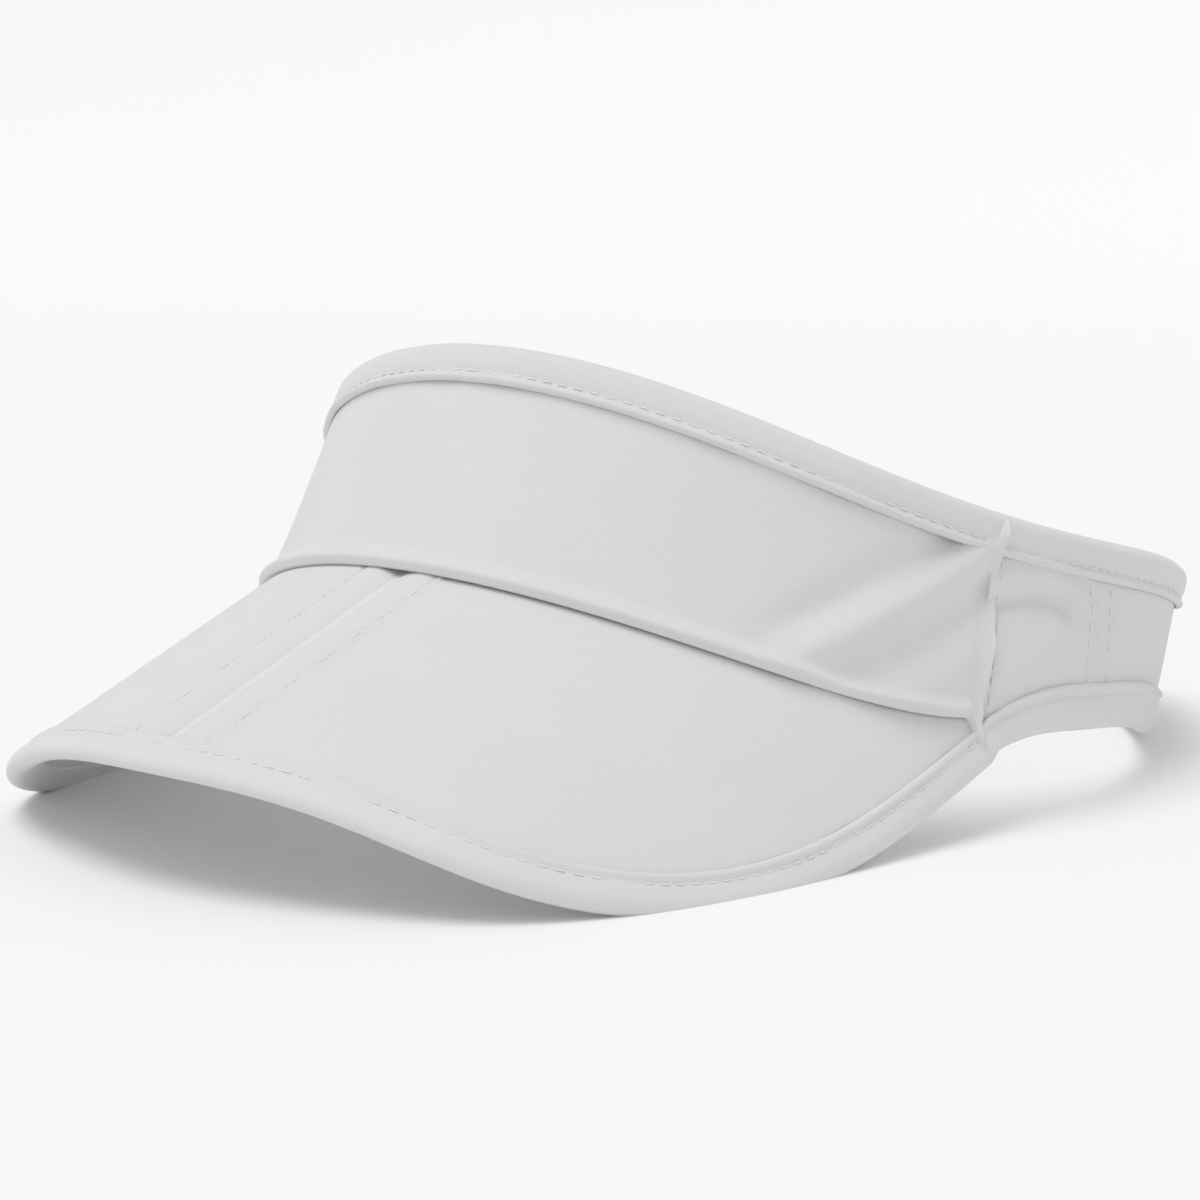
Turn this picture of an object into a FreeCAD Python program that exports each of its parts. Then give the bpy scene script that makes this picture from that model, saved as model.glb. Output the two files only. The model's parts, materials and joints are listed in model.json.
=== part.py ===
"""Sun visor: a cloth head band on a tilted oval, and a brim in two halves that fold on a centre crease.

Millimetres. +Z is up, the front of the brim points to -Y, and the wearer's left is +X.
The origin is at the bottom centre of the box round the whole visor, on the table it lies on.
"""
import FreeCAD, Part
import math
import os
from FreeCAD import Placement, Rotation, Vector

doc = FreeCAD.newDocument("sun_visor")
sizes = doc.addObject("Spreadsheet::Sheet", "sizes")
sizes.Label = "sizes"

# Driving dimensions. The head oval drives the rest: it is the wearer's head, 1.3 mm thick cloth included.
DIMENSIONS = {
    # band: a slightly tapered oval tube whose axis leans back
    "band_tilt": 28.51,
    "oval_low_height": -10.0,
    "oval_low_half_width": 82.35,
    "oval_low_half_length": 100.35,
    "oval_high_height": 90.0,
    "oval_high_half_width": 78.85,
    "oval_high_half_length": 91.85,
    "oval_high_forward": 5.0,
    "band_back": 14.2,
    "band_up": -8.64,
    # cloth layers, as offsets outwards from the band's outer face
    "binding_out": 1.2,
    "channel_out": 0.1,
    "panel_out": 0.0,
    "panel_in": -0.9,
    "core_out": -1.0,
    "core_in": -1.9,
    "lining_out": -2.0,
    "lining_in": -2.9,
    "inner_out": -3.0,
    "binding_in": -4.0,
    "sweatband_in": -4.8,
    "label_in": -3.4,
    # bindings and seams
    "top_binding_width": 7.9,
    "lower_binding_width": 9.4,
    "binding_cap": 1.2,
    "layer_gap": 0.1,
    "body_gap": 0.35,
    "side_seam_y": -10.3,
    "side_seam_z": 45.0,
    "side_seam_lean": 18.81,
    "sweatband_set_forward": 8.0,
    "sweatband_low": 2.0,
    "sweatband_high": 34.0,
    "elastic_front": 17.0,
    "panel_end_x": 34.0,
    "label_front": 80.0,
    "label_width": 14.0,
    "label_length": 13.0,
    # rear closure
    "strap_in": -2.3,
    "loop_out": 0.1,
    "hook_out": 1.5,
    "hook_in": 0.45,
    "tab_out": 3.0,
    "tab_in": 1.6,
    "strap_height": 15.0,
    "strap_reach": 20.0,
    "loop_set_in": 4.0,
    "loop_reach": 18.0,
    "hook_set_in": 8.0,
    "hook_reach": 14.0,
    "tab_start_x": 34.8,
    "tab_length": 64.0,
    "tab_height": 17.0,
    "tab_corner": 7.0,
    "closure_height": 83.2,
    # brim
    "brim_radius": 88.1,
    "brim_slope": 20.73,
    "crease_height": 7.4,
    "crease_gap": 0.25,
    "cover_thickness": 0.6,
    "board_thickness": 1.4,
    "board_set_in": 10.0,
    "board_edge_in": 2.0,
    "hem_width": 6.8,
    "hem_cloth": 0.6,
    "horn_end": 50.0,
    # helpers that only have to be larger than what they cut
    "reach": 320.0,
    "closure_cut_depth": 80.0,
}

# The brim's edge, laid flat: distance across from the crease, and distance ahead of the band.
BRIM_EDGE = [(0.0, 66.6), (32.4, 61.5), (63.5, 50.6), (86.4, 27.4), (98.6, -2.7),
             (102.6, -32.7), (103.8, -60.0)]
# The band's upper and lower edges seen from the side: back and up, measured from the oval's centre.
UPPER_EDGE = [(-74.9, 102.4), (-61.4, 92.7), (-37.2, 77.0), (-18.9, 68.3), (4.1, 60.8),
              (55.2, 49.2), (89.0, 41.3), (127.1, 39.0)]
LOWER_EDGE = [(-22.6, 20.0), (-4.6, 23.3), (12.1, 22.2), (39.0, 18.2), (65.7, 11.4),
              (95.8, 8.7), (127.8, 9.2)]

row = 0
for alias, value in DIMENSIONS.items():
    row += 1
    sizes.set(f"A{row}", alias)
    sizes.set(f"B{row}", str(value))
    sizes.setAlias(f"B{row}", alias)
for curve, points in (("brim_edge", BRIM_EDGE), ("upper_edge", UPPER_EDGE), ("lower_edge", LOWER_EDGE)):
    for number, (along, up) in enumerate(points):
        row += 1
        letter = "abcdefgh"[number]
        sizes.set(f"A{row}", f"{curve}_{letter}")
        for column, axis, value in (("B", "first", along), ("C", "second", up)):
            sizes.set(f"{column}{row}", str(value))
            sizes.setAlias(f"{column}{row}", f"{curve}_{letter}_{axis}")
doc.recompute()


def size(alias):
    """A driving dimension from the sheet."""
    return float(sizes.get(alias))


def curve_points(curve, count):
    """The points of an edge curve, read back from the sheet."""
    return [(size(f"{curve}_{c}_first"), size(f"{curve}_{c}_second")) for c in "abcdefgh"[:count]]


# ---------------------------------------------------------------- places and directions
TILT = math.radians(size("band_tilt"))
BAND_CENTRE = Vector(0, size("band_back"), size("band_up"))
BAND_AXIS = Vector(0, math.sin(TILT), math.cos(TILT))
BAND_REARWARD = Vector(0, math.cos(TILT), -math.sin(TILT))
SLOPE = math.radians(size("brim_slope"))
BRIM_AHEAD = Vector(0, -math.cos(SLOPE), -math.sin(SLOPE))
BRIM_UP = Vector(0, -math.sin(SLOPE), math.cos(SLOPE))
ACROSS = Vector(1, 0, 0)


def band_point(across, rearward, height):
    """A point given in the band's own tilted frame."""
    return BAND_CENTRE + ACROSS * across + BAND_REARWARD * rearward + BAND_AXIS * height


def oval_at(height):
    """Half width, half length and forward shift of the band's oval at a height along its axis."""
    low = size("oval_low_height")
    part = (height - low) / (size("oval_high_height") - low)
    half_width = size("oval_low_half_width") * (1 - part) + size("oval_high_half_width") * part
    half_length = size("oval_low_half_length") * (1 - part) + size("oval_high_half_length") * part
    return half_width, half_length, size("oval_high_forward") * part


def frame(base, x_axis, y_axis, z_axis):
    """A placement whose own axes point along the three given directions."""
    matrix = FreeCAD.Matrix(
        x_axis.x, y_axis.x, z_axis.x, base.x,
        x_axis.y, y_axis.y, z_axis.y, base.y,
        x_axis.z, y_axis.z, z_axis.z, base.z,
        0, 0, 0, 1)
    return Placement(matrix)


HALF_LENGTH, FORWARD = oval_at(size("crease_height"))[1:]
CREASE_TOP = band_point(0, -HALF_LENGTH - FORWARD, size("crease_height"))
BRIM_AXIS_POINT = CREASE_TOP - BRIM_UP * size("brim_radius")
LOW_CENTRE = band_point(0, 0, size("oval_low_height"))
HIGH_CENTRE = band_point(0, -size("oval_high_forward"), size("oval_high_height"))
REAR_LOW = band_point(0, size("oval_low_half_length"), size("oval_low_height"))
REAR_HIGH = band_point(0, size("oval_high_half_length") - size("oval_high_forward"), size("oval_high_height"))
REAR_UP = (REAR_HIGH - REAR_LOW).normalize()
REAR_OUT = Vector(0, REAR_UP.z, -REAR_UP.y)
CLOSURE_CENTRE = REAR_LOW + REAR_UP * size("closure_height")

# ---------------------------------------------------------------- small makers
pieces = []


def make(kind, label, **links):
    """A document object with its links set."""
    thing = doc.addObject(kind, label)
    thing.Label = label
    for name, value in links.items():
        setattr(thing, name, value)
    return thing


def common(label, *things):
    """What several solids share."""
    result = things[0]
    for number, tool in enumerate(things[1:], start=2):
        last = number == len(things)
        name = label if last else f"{label}_step_{number}"
        result = make("Part::Common", name, Base=result, Tool=tool)
    return result


def cut(label, base, tool):
    """One solid less another."""
    return make("Part::Cut", label, Base=base, Tool=tool)


def mirrored(label, source):
    """The same piece on the wearer's other side."""
    return make("Part::Mirroring", label, Source=source, Normal=ACROSS, Base=Vector(0, 0, 0))


def coded(label, shape):
    """A free-form helper, whose shape no primitive gives."""
    thing = doc.addObject("Part::Feature", label)
    thing.Label = label
    thing.Shape = shape
    return thing


def keep(thing):
    """Mark an object as one of the visor's own pieces."""
    pieces.append(thing)
    return thing


def offset_oval(level, centre, offset_alias, tag):
    """The band's oval at one level, grown or shrunk by a layer's offset."""
    oval = make("Part::Ellipse", f"oval_{level}_{tag}")
    oval.setExpression("MajorRadius", f"sizes.oval_{level}_half_length + sizes.{offset_alias}")
    oval.setExpression("MinorRadius", f"sizes.oval_{level}_half_width + sizes.{offset_alias}")
    oval.Placement = frame(centre, BAND_REARWARD, ACROSS * -1, BAND_AXIS)
    return oval


tubes = {}


def tube(offset_alias):
    """The solid tapered oval out to one layer's face."""
    if offset_alias not in tubes:
        ovals = [offset_oval("low", LOW_CENTRE, offset_alias, offset_alias),
                 offset_oval("high", HIGH_CENTRE, offset_alias, offset_alias)]
        tubes[offset_alias] = make("Part::Loft", f"tube_{offset_alias}",
                                   Sections=ovals, Solid=True, Ruled=True)
    return tubes[offset_alias]


walls = {}


def wall(outer_alias, inner_alias):
    """One cloth layer of the band, all the way round."""
    key = f"wall_{outer_alias}_to_{inner_alias}"
    if key not in walls:
        walls[key] = cut(key, tube(outer_alias), tube(inner_alias))
    return walls[key]


def smooth(points):
    """A smooth edge through points."""
    curve = Part.BSplineCurve()
    curve.interpolate(points)
    return curve.toShape()


def side_curve(points, drop):
    """An edge of the band seen from the side, moved down the band's axis, as a smooth edge at X = 0."""
    moved = [Vector(0, back, up) + BAND_CENTRE - BAND_AXIS * drop for back, up in points]
    return smooth(moved)


def side_prism(label, upper, lower):
    """Everything between two edges of the side view, extruded across the whole visor."""
    top_front, top_rear = upper.Vertexes[0].Point, upper.Vertexes[-1].Point
    low_front, low_rear = lower.Vertexes[0].Point, lower.Vertexes[-1].Point
    outline = Part.Wire([upper, Part.makeLine(top_rear, low_rear), lower, Part.makeLine(low_front, top_front)])
    face = coded(f"{label}_outline", Part.Face(outline))
    prism = make("Part::Extrusion", label, Base=face, DirMode="Custom", Dir=ACROSS, Solid=True, Symmetric=True)
    prism.setExpression("LengthFwd", "sizes.reach")
    return prism


def slab(label, placement, length, width, height):
    """A plain box whose three sizes are expressions of the sheet."""
    box = make("Part::Box", label)
    box.setExpression("Length", length)
    box.setExpression("Width", width)
    box.setExpression("Height", height)
    box.Placement = placement
    return box


# ---------------------------------------------------------------- cutters for the band
UPPER = curve_points("upper_edge", 8)
LOWER = curve_points("lower_edge", 7)
CAP = size("binding_cap")
FULLEST_BINDING = 0.75  # share of its ring that a folded binding with its channel may fill
GAP = size("layer_gap")
TOP_WIDTH = size("top_binding_width")
LOW_WIDTH = size("lower_binding_width")
REACH = size("reach")
far_below = Part.makeLine(Vector(0, -REACH / 2, -REACH / 4), Vector(0, REACH / 2, -REACH / 4))

cloth_height = side_prism("cloth_height", side_curve(UPPER, CAP), far_below)
side_height = side_prism("side_height", side_curve(UPPER, CAP), side_curve(LOWER, -CAP))
side_channel = side_prism("side_channel", side_curve(UPPER, TOP_WIDTH / 2), side_curve(LOWER, -CAP - GAP))
top_binding_height = side_prism("top_binding_height", side_curve(UPPER, 0), side_curve(UPPER, TOP_WIDTH))
lower_binding_height = side_prism("lower_binding_height", side_curve(LOWER, -LOW_WIDTH), side_curve(LOWER, 0))
top_channel = side_prism("top_channel", side_curve(UPPER, CAP - GAP / 2), side_curve(UPPER, REACH / 4))
lower_channel = side_prism("lower_channel", side_curve(LOWER, -REACH / 4), side_curve(LOWER, GAP / 2 - CAP))
label_top = TOP_WIDTH + 3 * GAP
label_height = side_prism("label_height", side_curve(UPPER, label_top),
                          side_curve(UPPER, label_top + size("label_length")))

# The side seam leans back as it rises; the front panel lies ahead of it, the side panels behind.
LEAN = math.radians(size("side_seam_lean"))
SEAM_UP = Vector(0, math.sin(LEAN), math.cos(LEAN))
SEAM_BACK = Vector(0, math.cos(LEAN), -math.sin(LEAN))
SEAM_POINT = BAND_CENTRE + Vector(0, size("side_seam_y"), size("side_seam_z"))


def seam_half(label, shift, behind):
    """All space behind or ahead of a plane parallel to the side seam."""
    start = SEAM_POINT + SEAM_BACK * shift - ACROSS * (REACH / 2) - SEAM_UP * (REACH / 2)
    if not behind:
        start = start - SEAM_BACK * REACH
    return slab(label, frame(start, ACROSS, SEAM_BACK, SEAM_UP), "sizes.reach", "sizes.reach", "sizes.reach")


ahead_of_seam = seam_half("ahead_of_seam", -GAP / 2, behind=False)
behind_seam = seam_half("behind_seam", GAP / 2, behind=True)
sweatband_ahead = seam_half("sweatband_ahead", -size("sweatband_set_forward"), behind=False)
left_half = slab("left_half", Placement(Vector(size("panel_end_x"), -REACH / 2, -REACH / 2), Rotation()),
                 "sizes.reach", "sizes.reach", "sizes.reach")

left_half_room = slab(
    "left_half_room", Placement(Vector(size("panel_end_x") - CAP, -REACH / 2, -REACH / 2), Rotation()),
    "sizes.reach", "sizes.reach", "sizes.reach")

# The horn plane is square to the crease, so a folding brim half slides along it.
HORN_POINT = CREASE_TOP - BRIM_AHEAD * (size("horn_end") + size("body_gap"))
behind_horn = slab(
    "behind_horn",
    frame(HORN_POINT - ACROSS * (REACH / 2) - BRIM_UP * (REACH / 2), ACROSS, BRIM_AHEAD * -1, BRIM_UP),
    "sizes.reach", "sizes.reach", "sizes.reach")

# Behind the horns no cloth layer hangs lower than the inside of the lower binding.
below_edge = side_prism("below_edge", side_curve(LOWER, -CAP), far_below)
under_hem = common("under_hem", below_edge, behind_horn)

# Room for the brim: nothing of the band comes nearer to the brim's upper face than the body gap.
brim_room = make("Part::Cylinder", "brim_room")
brim_room.setExpression("Radius", "sizes.brim_radius + sizes.hem_cloth + sizes.body_gap")
brim_room.setExpression("Height", "sizes.horn_end + sizes.body_gap + sizes.reach / 2")
ROOM_START = BRIM_AXIS_POINT - BRIM_AHEAD * (size("horn_end") + size("body_gap"))
brim_room.Placement = frame(ROOM_START, ACROSS, BRIM_UP, BRIM_AHEAD)

# ---------------------------------------------------------------- band pieces
def front_piece(label, layer):
    """A layer of the band between the side seams, down to the brim or into the lower binding."""
    whole = common(f"{label}_blank", layer, cloth_height, ahead_of_seam)
    above_hem = cut(f"{label}_above_hem", whole, under_hem)
    return keep(cut(label, above_hem, brim_room))


def side_pair(name, layer, *cutters):
    """A layer of the band behind the side seams, on both sides."""
    whole = common(f"{name}_blank", layer, left_half, *cutters)
    left = keep(cut(f"{name}_left", whole, brim_room))
    keep(mirrored(f"{name}_right", left))
    return left


front_panel = front_piece("front_panel", wall("panel_out", "panel_in"))
front_interlining = front_piece("front_interlining", wall("core_out", "core_in"))
front_lining = front_piece("front_lining", wall("lining_out", "lining_in"))

sweatband_ring = slab(
    "sweatband_ring",
    frame(band_point(-REACH / 2, -REACH / 2, size("sweatband_low")), ACROSS, BAND_REARWARD, BAND_AXIS),
    "sizes.reach", "sizes.reach", "sizes.sweatband_high - sizes.sweatband_low")
sweatband_blank = common("sweatband_blank", wall("inner_out", "sweatband_in"), sweatband_ring, sweatband_ahead)
sweatband = keep(cut("sweatband", sweatband_blank, brim_room))

side_pair("side_panel", wall("panel_out", "panel_in"), side_height, behind_seam)
side_pair("side_lining", wall("lining_out", "lining_in"), side_height, behind_seam)
elastic_corner = Vector(-REACH / 2, BAND_CENTRE.y + size("elastic_front"), -REACH / 2)
elastic_room = slab("elastic_room", Placement(elastic_corner, Rotation()),
                    "sizes.reach", "sizes.reach", "sizes.reach")
side_pair("rear_elastic", wall("core_out", "core_in"), side_channel, elastic_room)

# Folded bindings: a ring as wide as the binding, less the channel that the cloth layers fill.
binding_ring = wall("binding_out", "binding_in")
cloth_core = cut("cloth_core", tube("channel_out"), tube("inner_out"))
top_ring = common("top_binding_ring", binding_ring, top_binding_height)
open_rear = slab(
    "open_rear", Placement(Vector(-size("panel_end_x"), BAND_CENTRE.y, -REACH / 2), Rotation()),
    "2 * sizes.panel_end_x", "sizes.reach", "sizes.reach")
top_hollow = common("top_binding_hollow", cloth_core, top_channel)
top_folded = cut("top_binding_folded", top_ring, top_hollow)
top_binding = keep(cut("top_binding", top_folded, open_rear))

lower_ring = common("lower_binding_ring", binding_ring, left_half, lower_binding_height, behind_horn)
lower_hollow = common("lower_binding_hollow", cloth_core, left_half_room, lower_channel)
lower_binding_left = keep(cut("lower_binding_left", lower_ring, lower_hollow))
lower_binding_right = keep(mirrored("lower_binding_right", lower_binding_left))

label_corner = Vector(size("panel_end_x"), BAND_CENTRE.y + size("label_front"), -REACH / 2)
label_room = slab("label_room", Placement(label_corner, Rotation()),
                  "sizes.reach", "sizes.label_width", "sizes.reach")
care_label = keep(common("care_label", wall("inner_out", "label_in"), label_height, label_room))

# ---------------------------------------------------------------- rear closure
# Every piece is an upright patch of one layer, cut out square to the rear wall.
CLOSURE_CUT_DEPTH = size("closure_cut_depth")


def closure_block(label, from_x, to_x, height_alias):
    """A block square to the rear wall, between two places across."""
    block = make("Part::Box", label)
    block.setExpression("Length", f"{to_x} - ({from_x})")
    block.setExpression("Width", "sizes.closure_cut_depth")
    block.setExpression("Height", f"sizes.{height_alias}")
    corner = CLOSURE_CENTRE - REAR_OUT * (CLOSURE_CUT_DEPTH / 2) - REAR_UP * (size(height_alias) / 2)
    block.Placement = frame(corner, ACROSS, REAR_OUT, REAR_UP)
    block.setExpression("Placement.Base.x", from_x)
    return block


PANEL_END = "sizes.panel_end_x"
strap_block = closure_block(
    "strap_block", f"sizes.layer_gap - {PANEL_END}", "sizes.strap_reach", "strap_height")
loop_block = closure_block(
    "loop_block", f"sizes.loop_set_in - {PANEL_END}", "sizes.loop_reach", "strap_height")
hook_block = closure_block(
    "hook_block", f"sizes.hook_set_in - {PANEL_END}", "sizes.hook_reach", "strap_height")
rear_strap = keep(common("rear_strap", wall("core_out", "strap_in"), strap_block))
loop_patch = keep(common("loop_patch", wall("loop_out", "panel_in"), loop_block))
hook_patch = keep(common("hook_patch", wall("hook_out", "hook_in"), hook_block))

# The closure tab is a strip from the left panel's end to a free end with two rounded corners.
tab_blank = doc.addObject("PartDesign::Body", "tab_blank")
tab_blank.Label = "tab_blank"
tab_strip = tab_blank.newObject("PartDesign::AdditiveBox", "tab_strip")
tab_strip.setExpression("Length", "sizes.tab_length")
tab_strip.setExpression("Width", "sizes.closure_cut_depth")
tab_strip.setExpression("Height", "sizes.tab_height")
doc.recompute()
free_corners = [f"Edge{number}" for number, edge in enumerate(tab_strip.Shape.Edges, start=1)
                if all(abs(vertex.X) < GAP for vertex in edge.Vertexes)
                and abs(edge.Vertexes[0].Y - edge.Vertexes[-1].Y) > GAP]
tab_rounding = tab_blank.newObject("PartDesign::Fillet", "tab_rounding")
tab_rounding.Base = (tab_strip, free_corners)
tab_rounding.setExpression("Radius", "sizes.tab_corner")
tab_corner = CLOSURE_CENTRE - REAR_OUT * (CLOSURE_CUT_DEPTH / 2) - REAR_UP * (size("tab_height") / 2)
tab_corner = tab_corner + ACROSS * (size("tab_start_x") - size("tab_length"))
tab_blank.Placement = frame(tab_corner, ACROSS, REAR_OUT, REAR_UP)
closure_tab = keep(common("closure_tab", wall("tab_out", "tab_in"), tab_blank))

# ---------------------------------------------------------------- brim
# The brim is part of a cylinder along the crease, so its edge is drawn flat and rolled onto it.
RADIUS = size("brim_radius")
EDGE = curve_points("brim_edge", 7)
CREASE_GAP = size("crease_gap")
NEAR_PLANE = 0.2 * RADIUS
FAR_PLANE = 1.1 * RADIUS
HORN_ROW = EDGE[-1][1]


def offset_edge(outwards):
    """The flat edge's points moved square to the edge."""
    moved = []
    for number, (across, ahead) in enumerate(EDGE):
        before = EDGE[max(number - 1, 0)]
        after = EDGE[min(number + 1, len(EDGE) - 1)]
        along = Vector(after[0] - before[0], after[1] - before[1], 0).normalize()
        if number == 0:
            along = ACROSS
        moved.append((across - along.y * outwards, ahead + along.x * outwards))
    return moved


def rolled_wire(points, inner_edge, plane):
    """The flat outline of one brim half, seen from the cylinder's axis on a plane that far above it."""
    def place(across, ahead):
        base = BRIM_AXIS_POINT + BRIM_UP * plane + BRIM_AHEAD * ahead
        return base + ACROSS * (plane * math.tan(across / RADIUS))
    edge = [place(max(across, inner_edge), ahead) for across, ahead in points]
    corner = place(inner_edge, HORN_ROW)
    return Part.Wire([smooth(edge), Part.makeLine(edge[-1], corner), Part.makeLine(corner, edge[0])])


def rolled_cutter(label, outwards, inner_edge):
    """Everything under one brim half's outline, seen from the cylinder's axis."""
    points = offset_edge(outwards)
    near = coded(f"{label}_near", rolled_wire(points, inner_edge, NEAR_PLANE))
    far = coded(f"{label}_far", rolled_wire(points, inner_edge, FAR_PLANE))
    return make("Part::Loft", label, Sections=[near, far], Solid=True, Ruled=True)


rods = {}


def rod(tag, expression):
    """The solid cylinder out to one layer's face, from the horn plane forwards."""
    if tag not in rods:
        cylinder = make("Part::Cylinder", f"rod_{tag}")
        cylinder.setExpression("Radius", expression)
        cylinder.setExpression("Height", "sizes.horn_end + sizes.reach / 2")
        start = BRIM_AXIS_POINT - BRIM_AHEAD * size("horn_end")
        cylinder.Placement = frame(start, ACROSS, BRIM_UP, BRIM_AHEAD)
        rods[tag] = cylinder
    return rods[tag]


COVER_TOP = rod("cover_top", "sizes.brim_radius")
COVER_LOW = rod("cover_low", "sizes.brim_radius - sizes.cover_thickness")
BOARD_FACE = "sizes.brim_radius - sizes.cover_thickness - sizes.layer_gap"
BOARD_TOP = rod("board_top", BOARD_FACE)
BOARD_LOW = rod("board_low", f"{BOARD_FACE} - sizes.board_thickness")
UNDER_FACE = f"{BOARD_FACE} - sizes.board_thickness - sizes.layer_gap"
UNDER_TOP = rod("under_top", UNDER_FACE)
UNDER_LOW = rod("under_low", f"{UNDER_FACE} - sizes.cover_thickness")
HEM_IN_FACE = f"{UNDER_FACE} - sizes.cover_thickness - sizes.layer_gap"
HEM_IN_TOP = rod("hem_in_top", "sizes.brim_radius + sizes.layer_gap")
HEM_IN_LOW = rod("hem_in_low", HEM_IN_FACE)
HEM_TOP = rod("hem_top", "sizes.brim_radius + sizes.hem_cloth")
HEM_LOW = rod("hem_low", f"{HEM_IN_FACE} - sizes.hem_cloth")

cloth_outline = rolled_cutter("cloth_outline", 0, CREASE_GAP)
board_outline = rolled_cutter("board_outline", -size("board_edge_in"), size("board_set_in"))
hem_outline = rolled_cutter("hem_outline", size("hem_cloth"), CREASE_GAP)
hem_inner = rolled_cutter("hem_inner", -size("hem_width"), CREASE_GAP / 2)

# The brim's inner edge is sewn under the band, so it reaches in to the lining's inner face.
head_room = tube("lining_in")


def brim_pair(name, outline, upper_rod, lower_rod):
    """One layer of the brim as a left half and its mirrored right half."""
    shell = cut(f"{name}_shell", upper_rod, lower_rod)
    blank = common(f"{name}_blank", shell, outline)
    left = keep(cut(f"{name}_left", blank, head_room))
    keep(mirrored(f"{name}_right", left))
    return left


brim_pair("brim_top", cloth_outline, COVER_TOP, COVER_LOW)
brim_pair("brim_board", board_outline, BOARD_TOP, BOARD_LOW)
brim_pair("brim_under", cloth_outline, UNDER_TOP, UNDER_LOW)

hem_shell = cut("hem_shell", HEM_TOP, HEM_LOW)
hem_block = common("hem_block", hem_shell, hem_outline)
hem_ring = cut("hem_ring", hem_block, hem_inner)
hem_core = cut("hem_core", HEM_IN_TOP, HEM_IN_LOW)
hem_channel = common("hem_channel", hem_core, cloth_outline)
hem_folded = cut("hem_folded", hem_ring, hem_channel)
brim_binding_left = keep(cut("brim_binding_left", hem_folded, head_room))
brim_binding_right = keep(mirrored("brim_binding_right", brim_binding_left))

# ---------------------------------------------------------------- check and write
doc.recompute()
for thing in doc.Objects:
    if "Invalid" in thing.State or "Error" in thing.State:
        raise RuntimeError(f"{thing.Label} failed to compute: {thing.State}")
for binding, ring in ((top_binding, top_ring), (lower_binding_left, lower_ring)):
    if binding.Shape.Volume > FULLEST_BINDING * ring.Shape.Volume:
        raise RuntimeError(f"{binding.Label} has no channel for the cloth that it wraps")
for piece in pieces:
    if piece.Shape.isNull() or not piece.Shape.isValid() or not piece.Shape.Solids:
        raise RuntimeError(f"{piece.Label} is not a valid solid")

os.makedirs("parts", exist_ok=True)
whole = FreeCAD.BoundBox()
for piece in pieces:
    piece.Shape.exportStep(f"parts/{piece.Label}.step")
    whole.add(piece.Shape.optimalBoundingBox(False, False))
    print(f"{piece.Label}: {len(piece.Shape.Solids)} solid, {piece.Shape.Volume:.0f} mm3")
print(f"{len(pieces)} pieces, X {whole.XMin:.2f} to {whole.XMax:.2f}, Y {whole.YMin:.2f} to {whole.YMax:.2f},"
      f" Z {whole.ZMin:.2f} to {whole.ZMax:.2f}")
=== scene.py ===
# %% [markdown]
# # A cloth sun visor
# The visor is sewn from flat cloth: a band that stands on a tilted oval, and a brim in two halves that
# fold on a crease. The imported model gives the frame; every cloth piece below is a thin closed mesh laid
# on its surfaces.

# %% Load the frame
import json
import math
import bpy
import numpy as np
from mathutils import Matrix, Vector


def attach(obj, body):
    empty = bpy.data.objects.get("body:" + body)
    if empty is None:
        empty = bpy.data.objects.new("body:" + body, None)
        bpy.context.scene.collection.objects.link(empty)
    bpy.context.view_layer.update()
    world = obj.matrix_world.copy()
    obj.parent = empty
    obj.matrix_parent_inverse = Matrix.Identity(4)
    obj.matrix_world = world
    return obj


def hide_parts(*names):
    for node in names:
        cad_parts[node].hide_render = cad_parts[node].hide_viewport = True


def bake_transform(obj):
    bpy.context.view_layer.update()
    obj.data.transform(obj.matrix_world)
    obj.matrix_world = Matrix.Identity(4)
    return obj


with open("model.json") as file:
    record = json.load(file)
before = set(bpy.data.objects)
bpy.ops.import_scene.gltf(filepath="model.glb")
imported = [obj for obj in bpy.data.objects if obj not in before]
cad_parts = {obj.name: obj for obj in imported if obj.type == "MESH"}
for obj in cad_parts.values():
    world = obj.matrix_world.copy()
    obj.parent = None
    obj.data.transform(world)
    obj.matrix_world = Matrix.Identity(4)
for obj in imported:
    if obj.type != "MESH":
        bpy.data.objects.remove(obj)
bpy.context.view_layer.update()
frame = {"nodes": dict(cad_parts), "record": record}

MM = 0.001

# %% [markdown]
# ## The two surfaces
# The band is a slightly tapered oval tube that leans back, so a place on it is an angle from the front, a
# height along its own axis, and an offset outwards. The brim is rolled on a cylinder along its crease, so
# a place on it is a distance across, a distance ahead, and a depth. Working in these coordinates keeps
# the cloth on the frame.

# %% Band surface
BAND_TILT = math.radians(28.51)
BAND_CENTRE = np.array([0, 14.2, -8.64])
BAND_AXIS = np.array([0, math.sin(BAND_TILT), math.cos(BAND_TILT)])
BAND_REARWARD = np.array([0, math.cos(BAND_TILT), -math.sin(BAND_TILT)])
ACROSS = np.array([1.0, 0, 0])
OVAL_LOW, OVAL_HIGH = -10.0, 90.0
HALF_WIDTHS = (82.35, 78.85)
HALF_LENGTHS = (100.35, 91.85)
OVAL_FORWARD = 5.0
MM_PER_DEGREE = 1.45  # along the band, near its widest place
FRONT_LENGTH = 112.0  # from the centre to the side seam


def between(pair, height):
    """A half size of the oval at a height along the band's axis."""
    return pair[0] + (pair[1] - pair[0]) * ((height - OVAL_LOW) / (OVAL_HIGH - OVAL_LOW))


def band(angle, height, offset=0.0):
    """Points of the band in millimetres; the angle is in degrees from the front towards +X."""
    angle, height, offset = np.broadcast_arrays(np.radians(angle), height, offset)
    part = (height - OVAL_LOW) / (OVAL_HIGH - OVAL_LOW)
    x = (between(HALF_WIDTHS, height) + offset) * np.sin(angle)
    rearward = -(between(HALF_LENGTHS, height) + offset) * np.cos(angle) - OVAL_FORWARD * part
    x, rearward, height = x[..., None], rearward[..., None], height[..., None]
    return BAND_CENTRE + x * ACROSS + rearward * BAND_REARWARD + height * BAND_AXIS


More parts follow.
